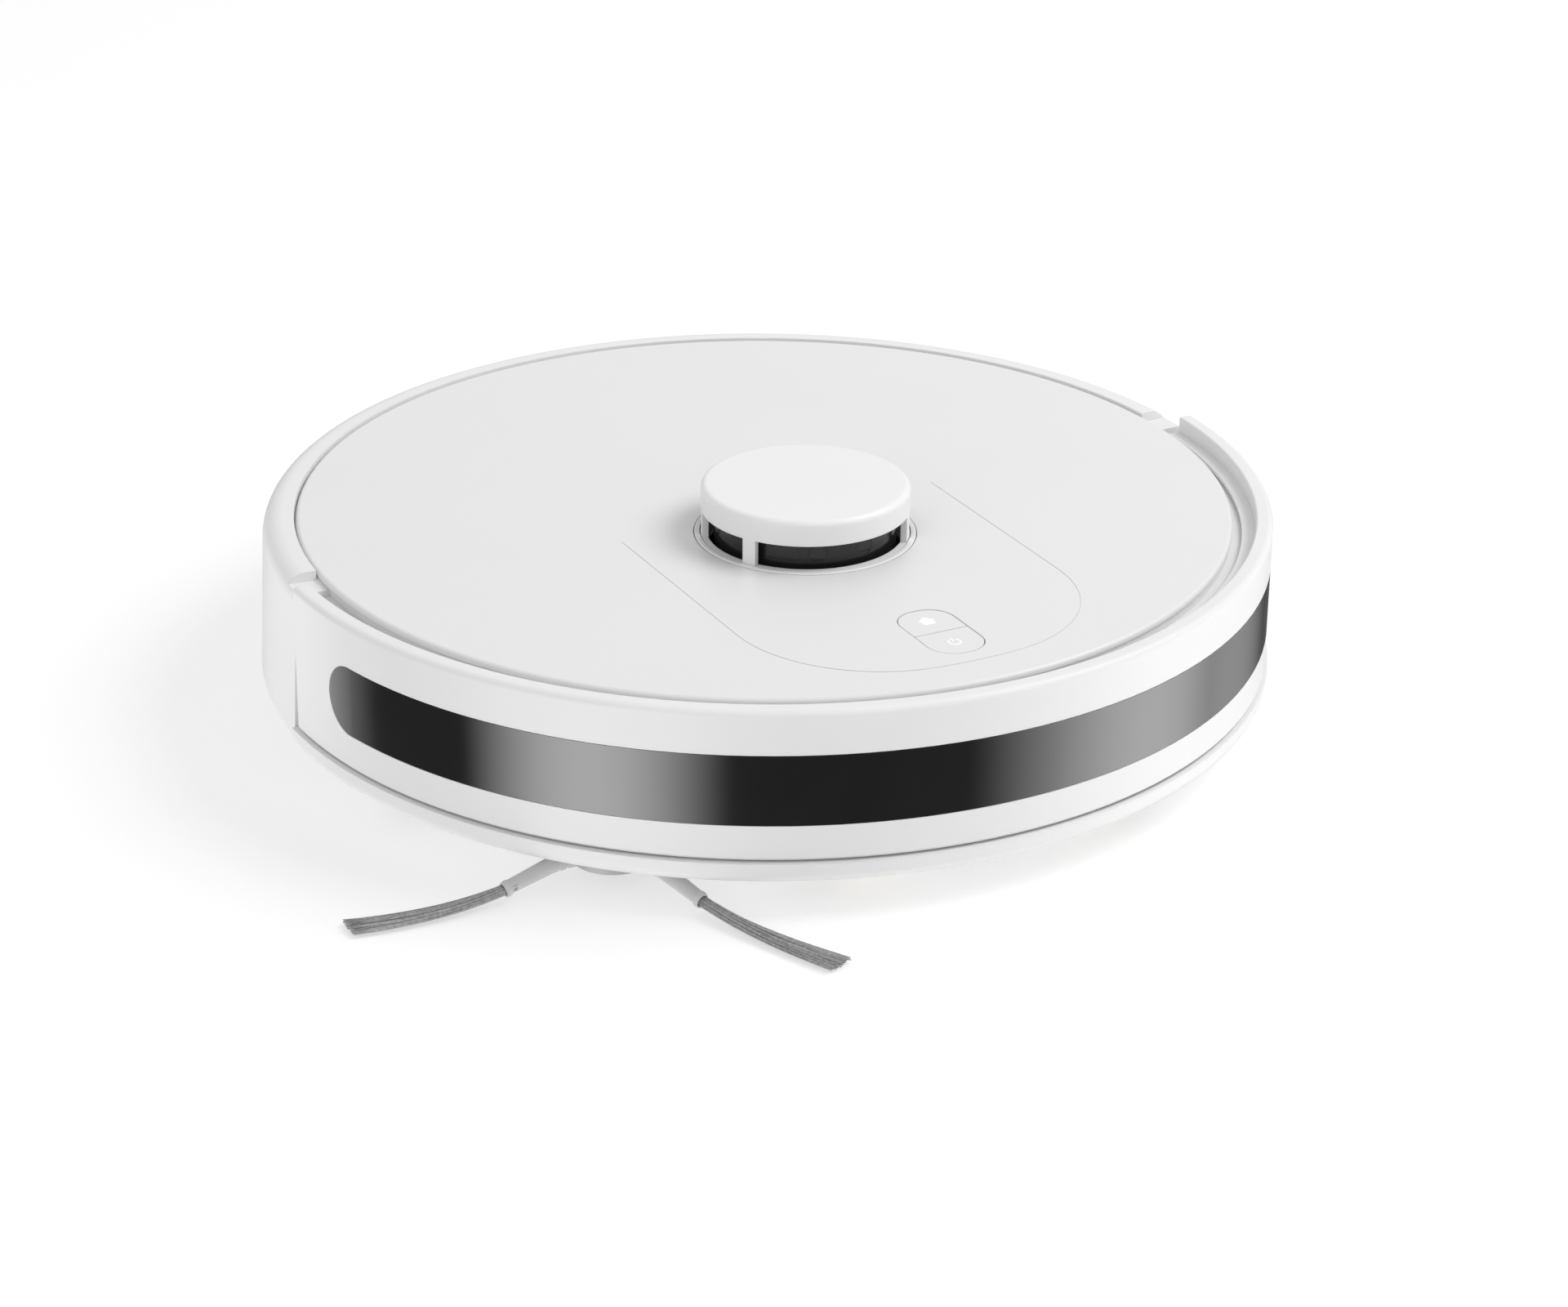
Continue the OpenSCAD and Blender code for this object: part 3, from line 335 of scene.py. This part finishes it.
def node_materials():
    """The look of every CAD node."""
    shell = plastic("shell_white", WHITE, 0.42, grain=0.12, specular=0.3)
    plate = plastic("plate_white", (0.765, 0.765, 0.77), 0.36, grain=0.04, edge=0.0005, vary=0.006,
                    spread=0.02)
    skirt = plastic("skirt_white", WHITE, 0.5, grain=0.3)
    cap = plastic("cap_white", (0.82, 0.82, 0.82), 0.38, grain=0.06, edge=0.0004, vary=0.006)
    window = plastic("window_black", (0.010, 0.010, 0.011), 0.10, grain=0.0, edge=0.0002, vary=0.3,
                     spread=0.02, ior=1.6)
    black = plastic("scanner_black", (0.014, 0.014, 0.015), 0.22, grain=0.05, vary=0.3, spread=0.05)
    sensor = plastic("sensor_black", (0.02, 0.02, 0.022), 0.3, grain=0.1, vary=0.3)
    dark = plastic("bracket_dark", (0.07, 0.07, 0.073), 0.5, grain=0.5, vary=0.15)
    grey = plastic("housing_grey", (0.30, 0.305, 0.31), 0.5, grain=0.5, vary=0.06)
    duct = plastic("duct_grey", (0.52, 0.52, 0.525), 0.5, grain=0.3, vary=0.04)
    core = plastic("core_plastic", (0.10, 0.10, 0.105), 0.42, grain=0.3, vary=0.1)
    hub = plastic("hub_plastic", (0.45, 0.45, 0.455), 0.45, grain=0.2, vary=0.05)
    pale = plastic("pulley_plastic", (0.72, 0.72, 0.70), 0.45, grain=0.2)
    bin_grey = plastic("bin_plastic", (0.50, 0.51, 0.53), 0.28, grain=0.1, vary=0.04, scratches=0.1)
    bin_face = plastic("latch_plastic", (0.70, 0.70, 0.70), 0.45, grain=0.3)
    wrap = plastic("battery_wrap", (0.02, 0.09, 0.35), 0.3, grain=0.2, vary=0.15)
    steel = metal("steel", (0.58, 0.58, 0.59), 0.3)
    spring = metal("spring_steel", (0.5, 0.5, 0.51), 0.28, stretch=(30, 1, 30))
    brass = metal("contact_metal", (0.78, 0.68, 0.45), 0.25, stretch=(20, 1, 1))
    tyre = rubber("tyre_rubber", (0.022, 0.022, 0.023), 0.65, dust=0.6)
    caster = rubber("caster_black", (0.03, 0.03, 0.031), 0.5)
    belt = rubber("belt_rubber", (0.012, 0.012, 0.012), 0.5)
    strips = rubber("strip_rubber", (0.05, 0.055, 0.065), 0.55)
    sleeve = rubber("sleeve_rubber", (0.55, 0.55, 0.55), 0.5, dust=0.1)
    bristle = nylon("bristle_nylon", (0.36, 0.36, 0.36))
    looks = {
        shell: ["upper_frame", "bumper", "turret_ring"],
        cap: ["turret_cap"],
        plate: ["top_plate", "power_button", "home_button"],
        skirt: ["base_chassis", "battery_cover"],
        window: ["bumper_window"],
        black: ["lidar_rotor"],
        lens_glass("lens_glass"): ["lidar_lenses"],
        sensor: ["cliff_windows", "bump_sensors", "speaker"],
        dark: ["lidar_base", "side_gearbox", "brush_gearbox", "left_arm", "right_arm", "caster_fork"],
        grey: ["left_wheel_housing", "right_wheel_housing", "caster_socket", "brush_guard", "left_hub",
               "right_hub"],
        duct: ["fan_housing", "brush_housing"],
        steel: ["lidar_motor", "fan_motor", "left_motor", "right_motor", "left_axle", "right_axle",
                "pivot_pins", "chassis_screws", "side_screw"],
        spring: ["bumper_springs", "left_spring", "right_spring"],
        brass: ["charge_contacts"],
        board("board_green", MAIN_BOARD_TOP): ["main_board"],
        board("board_buttons", BUTTON_BOARD_TOP): ["button_board"],
        wrap: ["battery_pack"],
        belt: ["lidar_belt"],
        pale: ["lidar_pulley", "fan_impeller"],
        tyre: ["left_tyre", "right_tyre"],
        caster: ["caster_wheel"],
        core: ["brush_core"],
        strips: ["brush_strips"],
        hub: ["side_hub"],
        sleeve: ["side_sleeves"],
        bristle: ["side_bristles"],
        bin_grey: ["dustbin", "bin_lid"],
        pleats("filter_paper", (0.82, 0.80, 0.72)): ["filter"],
        bin_face: ["bin_latch"],
    }
    for mat, names in looks.items():
        for name in names:
            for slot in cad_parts[name].material_slots:
                slot.material = mat


# ---------------------------------------------------------------- pieces

def middle(node):
    low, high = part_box(node)
    return (low + high) / 2


class Mesh:
    """Collects vertices and faces of one piece."""

    def __init__(self):
        self.verts, self.faces = [], []

    def tube(self, path, radii, sides):
        """A tube along a path of points with one radius a point."""
        first = len(self.verts)
        for i, point in enumerate(path):
            ahead = (path[min(i + 1, len(path) - 1)] - path[max(i - 1, 0)]).normalized()
            across = ahead.cross(Vector((0, 0, 1)) if abs(ahead.z) < 0.9 else Vector((1, 0, 0))).normalized()
            up = across.cross(ahead)
            for k in range(sides):
                a = 2 * math.pi * k / sides
                self.verts.append(point + (across * math.cos(a) + up * math.sin(a)) * radii[i])
        self.skin(first, len(path), sides)

    def skin(self, first, rings, count):
        """Faces over rings of vertices laid down one after another, with both ends closed."""
        for i in range(rings - 1):
            for k in range(count):
                low, high = first + i * count, first + (i + 1) * count
                self.faces.append((low + k, low + (k + 1) % count, high + (k + 1) % count, high + k))
        self.faces.append(tuple(first + k for k in reversed(range(count))))
        self.faces.append(tuple(first + (rings - 1) * count + k for k in range(count)))

    def strip(self, sections):
        """A solid bar through cross-sections with the same number of corners."""
        first = len(self.verts)
        for section in sections:
            self.verts.extend(section)
        self.skin(first, len(sections), len(sections[0]))

    def plate(self, outline, low, high):
        """A flat solid with an outline, between two heights."""
        self.strip([[Vector((x, y, low)) for x, y in outline], [Vector((x, y, high)) for x, y in outline]])

    def piece(self, name, mat, body, slot, smooth=True):
        """The finished piece, riding on its body."""
        mesh = bpy.data.meshes.new(name)
        mesh.from_pydata([tuple(v) for v in self.verts], [], self.faces)
        mesh.validate()
        mesh.materials.append(mat)
        if smooth:
            mesh.polygons.foreach_set("use_smooth", [True] * len(mesh.polygons))
        piece = bpy.data.objects.new(name, mesh)
        bpy.context.scene.collection.objects.link(piece)
        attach(piece, body)
        return piece


# ---------------------------------------------------------------- side brush

ARM_ANGLE = -184.4                                  # first arm, counted from +X
SLEEVE_BEND = (9.0, -7.0, 0.0)                      # how far each soft sleeve has set sideways, in degrees
ARM_BEND = (3.5, -4.0, 1.5)                         # where each worn tuft has set, in degrees
TIP_REACH = (91 * MM, 95 * MM, 93 * MM)             # from the hub's axis to each tuft's tip
SLEEVE_START = Vector((10 * MM, 0, 8.4 * MM))
SLEEVE_DROP = 3.9 * MM                              # how far the soft sleeves sag over their length
SLEEVE_SAG = 1.8                                    # 1 would be a straight slope
SLEEVE_LENGTH = 30 * MM
SLEEVE_SIDES = 24
FILAMENTS = 130                                     # in one tuft
FILAMENT_R, FILAMENT_TIP_R = 0.19 * MM, 0.12 * MM
FAN_HALF = 5.2 * MM                                 # half width of a tuft's flat tip
BUNDLE_R = 1.75 * MM                                # of the round bundle inside the sleeve
TUFT_ROOT = 4 * MM                                  # how deep in the sleeve a tuft starts
TIP_HEIGHT, TIP_THICKNESS = 1.5, 1.05               # middle and half thickness of a tuft's flat tip, in mm
BRISTLE_STEPS = 9

# distance along the sleeve and its radius, in mm: plain root, two grooves, taper, rounded lip, bore
SLEEVE_PROFILE = (
    (0, 2.95), (6, 2.95), (6.3, 2.55), (7.1, 2.55), (7.4, 2.9), (8.9, 2.9), (9.2, 2.5), (10, 2.5), (10.3, 2.75),
    (12, 2.75), (27.6, 2.3), (28.1, 2.65), (29.2, 2.7), (29.9, 2.5), (30, 2.1), (29, 1.75), (24, 1.7))


def arm_frames():
    """For each arm: the hub's centre on the floor, the arm's turn, its two bends and its reach."""
    hub = middle("side_hub")
    centre = Vector((hub.x, hub.y, 0))
    for k in range(3):
        turn = Matrix.Rotation(math.radians(ARM_ANGLE + 120 * k), 3, "Z")
        yield centre, turn, math.radians(SLEEVE_BEND[k]), math.radians(ARM_BEND[k]), TIP_REACH[k]


def sleeve_point(along):
    """Centre of a sleeve at a distance from its root, and the direction it points in there."""
    share = along / SLEEVE_LENGTH
    point = SLEEVE_START + Vector((along, 0, -SLEEVE_DROP * share ** SLEEVE_SAG))
    slope = SLEEVE_SAG * SLEEVE_DROP / SLEEVE_LENGTH * share ** (SLEEVE_SAG - 1)
    return point, Vector((1, 0, -slope)).normalized()


def add_sleeves(mat):
    """Soft sleeves that sag from the hub towards the floor."""
    mesh = Mesh()
    for centre, turn, bend, _, _ in arm_frames():
        first = len(mesh.verts)
        for along, radius in SLEEVE_PROFILE:
            point, axis = sleeve_point(along * MM)
            up = axis.cross(Vector((0, 1, 0))).normalized()
            swing = Matrix.Rotation(bend * along * MM / SLEEVE_LENGTH, 3, "Z")
            for k in range(SLEEVE_SIDES):
                a = 2 * math.pi * k / SLEEVE_SIDES
                spoke = Vector((0, math.cos(a), 0)) + up * math.sin(a)
                mesh.verts.append(centre + turn @ swing @ (point + spoke * (radius * MM)))
        mesh.skin(first, len(SLEEVE_PROFILE), SLEEVE_SIDES)
    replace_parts(mesh.piece("sleeves", mat, "side_brush", "sleeve_rubber"), "side_sleeves")


def add_bristles(mat):
    """Nylon tufts that leave the sleeves as a round bundle and fan out flat over the floor."""
    start, axis = sleeve_point(SLEEVE_LENGTH - TUFT_ROOT)
    fall = -axis.z / axis.x
    mesh = Mesh()
    for centre, turn, start_bend, bend, reach in arm_frames():
        for _ in range(FILAMENTS):
            a, d = rng.uniform(0, 2 * math.pi), math.sqrt(rng.random())
            across, high = d * math.cos(a), d * math.sin(a)
            root = start + Vector((0, across, high)) * BUNDLE_R
            side = (across + rng.gauss(0, 0.08)) * FAN_HALF
            tip_z = (TIP_HEIGHT + TIP_THICKNESS * high) * MM
            end = reach - abs(rng.gauss(0, 0.5)) * MM - side * side / (2 * reach)
            wave = rng.gauss(0, 0.25) * MM
            settle = max(1.2, fall * (end - root.x) / (start.z - TIP_HEIGHT * MM))
            path = []
            for i in range(BRISTLE_STEPS + 1):
                t = i / BRISTLE_STEPS
                spread = root.y + (side - root.y) * t ** 1.15 + wave * math.sin(math.pi * t)
                z = tip_z + (root.z - tip_z) * (1 - t) ** settle
                swing = Matrix.Rotation(start_bend + (bend - start_bend) * t ** 1.3, 3, "Z")
                path.append(centre + turn @ swing @ Vector((root.x + (end - root.x) * t, spread, z)))
            mesh.tube(path, [FILAMENT_R] * BRISTLE_STEPS + [FILAMENT_TIP_R], 4)
    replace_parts(mesh.piece("bristles", mat, "side_brush", "bristle_nylon"), "side_bristles")


# ---------------------------------------------------------------- main brush

CHEVRON = math.radians(4.5)                         # twist of a strip over an eighth of its length
STRIPS = 6                                          # blades and rows of tufts, turn about
STRIP_ROOT = 8.7 * MM                               # radius where the strips leave the core
STRIP_INSET = 0.15 * MM                             # how far their tips stay inside the CAD strips
END_GAP = 0.6 * MM                                  # free length at each end of the roller
BLADE_STEPS = 32
BLADE_HALF_WIDTHS = (1.7 * MM, 1.1 * MM, 0.75 * MM, 0.55 * MM)     # from the root out to the tip
BLADE_FOOT, BLADE_LIP = 1.6 * MM, 2.2 * MM          # heights of the foot, and of the lip below the tip
TUFTS, TUFT_FILAMENTS = 46, 11                      # tufts in a row, and filaments in a tuft
TUFT_MARGIN = 2 * MM


def strip_frame(k, x, length):
    """Outward and sideways directions of strip k at a place along the roller."""
    a = math.radians(k * 60) + abs(x) / (length / 8) * CHEVRON       # 60 degrees between strips
    return Vector((0, -math.sin(a), math.cos(a))), Vector((0, math.cos(a), math.sin(a)))


def add_roller_strips(rubber_mat, bristle_mat):
    """Three rubber blades and three rows of bristle tufts, turn about, in a shallow V."""
    low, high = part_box("brush_strips")
    centre = (low + high) / 2
    length = high.x - low.x
    outer = (high.z - low.z) / 2 - STRIP_INSET
    half = length / 2 - END_GAP
    radii = (STRIP_ROOT, STRIP_ROOT + BLADE_FOOT, outer - BLADE_LIP, outer)
    rising = [(r, -w) for r, w in zip(radii, BLADE_HALF_WIDTHS)]
    profile = rising + [(r, -w) for r, w in reversed(rising)]
    blades, tufts = Mesh(), Mesh()
    for k in range(STRIPS):
        if k % 2 == 0:
            sections = []
            for i in range(BLADE_STEPS + 1):
                x = -half + 2 * half * i / BLADE_STEPS
                out, side = strip_frame(k, x, length)
                at = Vector((centre.x + x, centre.y, centre.z))
                sections.append([at + out * r + side * w for r, w in profile])
            blades.strip(sections)
        else:
            for i in range(TUFTS):
                x = -half + TUFT_MARGIN + 2 * (half - TUFT_MARGIN) * i / (TUFTS - 1)
                out, side = strip_frame(k, x, length)
                at = Vector((centre.x + x, centre.y, centre.z))
                for _ in range(TUFT_FILAMENTS):
                    lean, turn = rng.uniform(-1.6, 1.6) * MM, rng.uniform(-1.2, 1.2) * MM
                    reach = outer - rng.uniform(0.1, 0.9) * MM
                    near = at + out * STRIP_ROOT + side * lean * 0.35 + Vector((turn * 0.5, 0, 0))
                    far = at + out * reach + side * lean + Vector((turn, 0, 0))
                    tufts.tube([near, far], [0.14 * MM, 0.1 * MM], 4)
    blade_piece = blades.piece("roller_blades", rubber_mat, "roller", "strip_rubber", smooth=False)
    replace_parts(blade_piece, "brush_strips")
    tufts.piece("roller_tufts", bristle_mat, "roller", "strip_rubber")


# ---------------------------------------------------------------- symbols on the buttons

def glow(name, strength):
    """A lit symbol behind white plastic."""

    def build(n, coord):
        cloud = noise(n, coord, 900, 2)
        return {"Base Color": (0.9, 0.9, 0.9, 1), "Roughness": n.ramp(cloud, 0.3, 0.7, 0.3, 0.42),
                "Emission Color": (1, 1, 1, 1), "Emission Strength": strength}

    return surface(name, build)


SYMBOL_LIGHT = {"home_button": 0.5, "power_button": 0.12}
SYMBOL_DEPTH, SYMBOL_RISE = 0.25 * MM, 0.04 * MM    # below and above the button's face


def house_outlines():
    """A house with a roof that overhangs its walls."""
    half, foot, eaves, overhang, ridge = 2.1 * MM, -2.0 * MM, 0.6 * MM, 1.35, 3.2 * MM
    return [[(-half, foot), (half, foot), (half, eaves), (half * overhang, eaves), (0, ridge),
             (-half * overhang, eaves), (-half, eaves)]]


def power_outlines():
    """A ring with a gap at its top, in short steps, and a bar that stands in the gap."""
    inner, outer, steps = 1.7 * MM, 2.3 * MM, 22
    gap_end, ring = 125, 290                        # where the ring starts, and how far it goes round
    half, low, high = 0.3 * MM, 0.6 * MM, 2.8 * MM  # of the bar
    angles = [math.radians(gap_end + ring * i / steps) for i in range(steps + 1)]
    pieces = [[(r * math.cos(c), r * math.sin(c)) for r, c in ((inner, a), (outer, a), (outer, b), (inner, b))]
              for a, b in zip(angles, angles[1:])]
    return pieces + [[(-half, low), (half, low), (half, high), (-half, high)]]


def add_symbols():
    """A lit symbol on each button, just proud of its face."""
    for node, outlines in (("home_button", house_outlines()), ("power_button", power_outlines())):
        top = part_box(node)[1].z
        centre = middle(node)
        mesh = Mesh()
        for outline in outlines:
            placed = [(centre.x + x, centre.y + y) for x, y in outline]
            mesh.plate(placed, top - SYMBOL_DEPTH, top + SYMBOL_RISE)
        lit = glow(node + "_lit", SYMBOL_LIGHT[node])
        mesh.piece(node + "_symbol", lit, node, "button_white", smooth=False)


def build_scene():
    add_camera()
    add_world()
    add_floor()
    for name, settings in LIGHTS.items():
        add_area(name, **settings)
    node_materials()
    add_sleeves(MATERIALS["sleeve_rubber"])
    add_bristles(MATERIALS["bristle_nylon"])
    add_roller_strips(MATERIALS["strip_rubber"], nylon("tuft_nylon", (0.06, 0.06, 0.065)))
    add_symbols()
    bpy.context.scene.view_settings.view_transform = "Standard"       # keeps the white background white


build_scene()
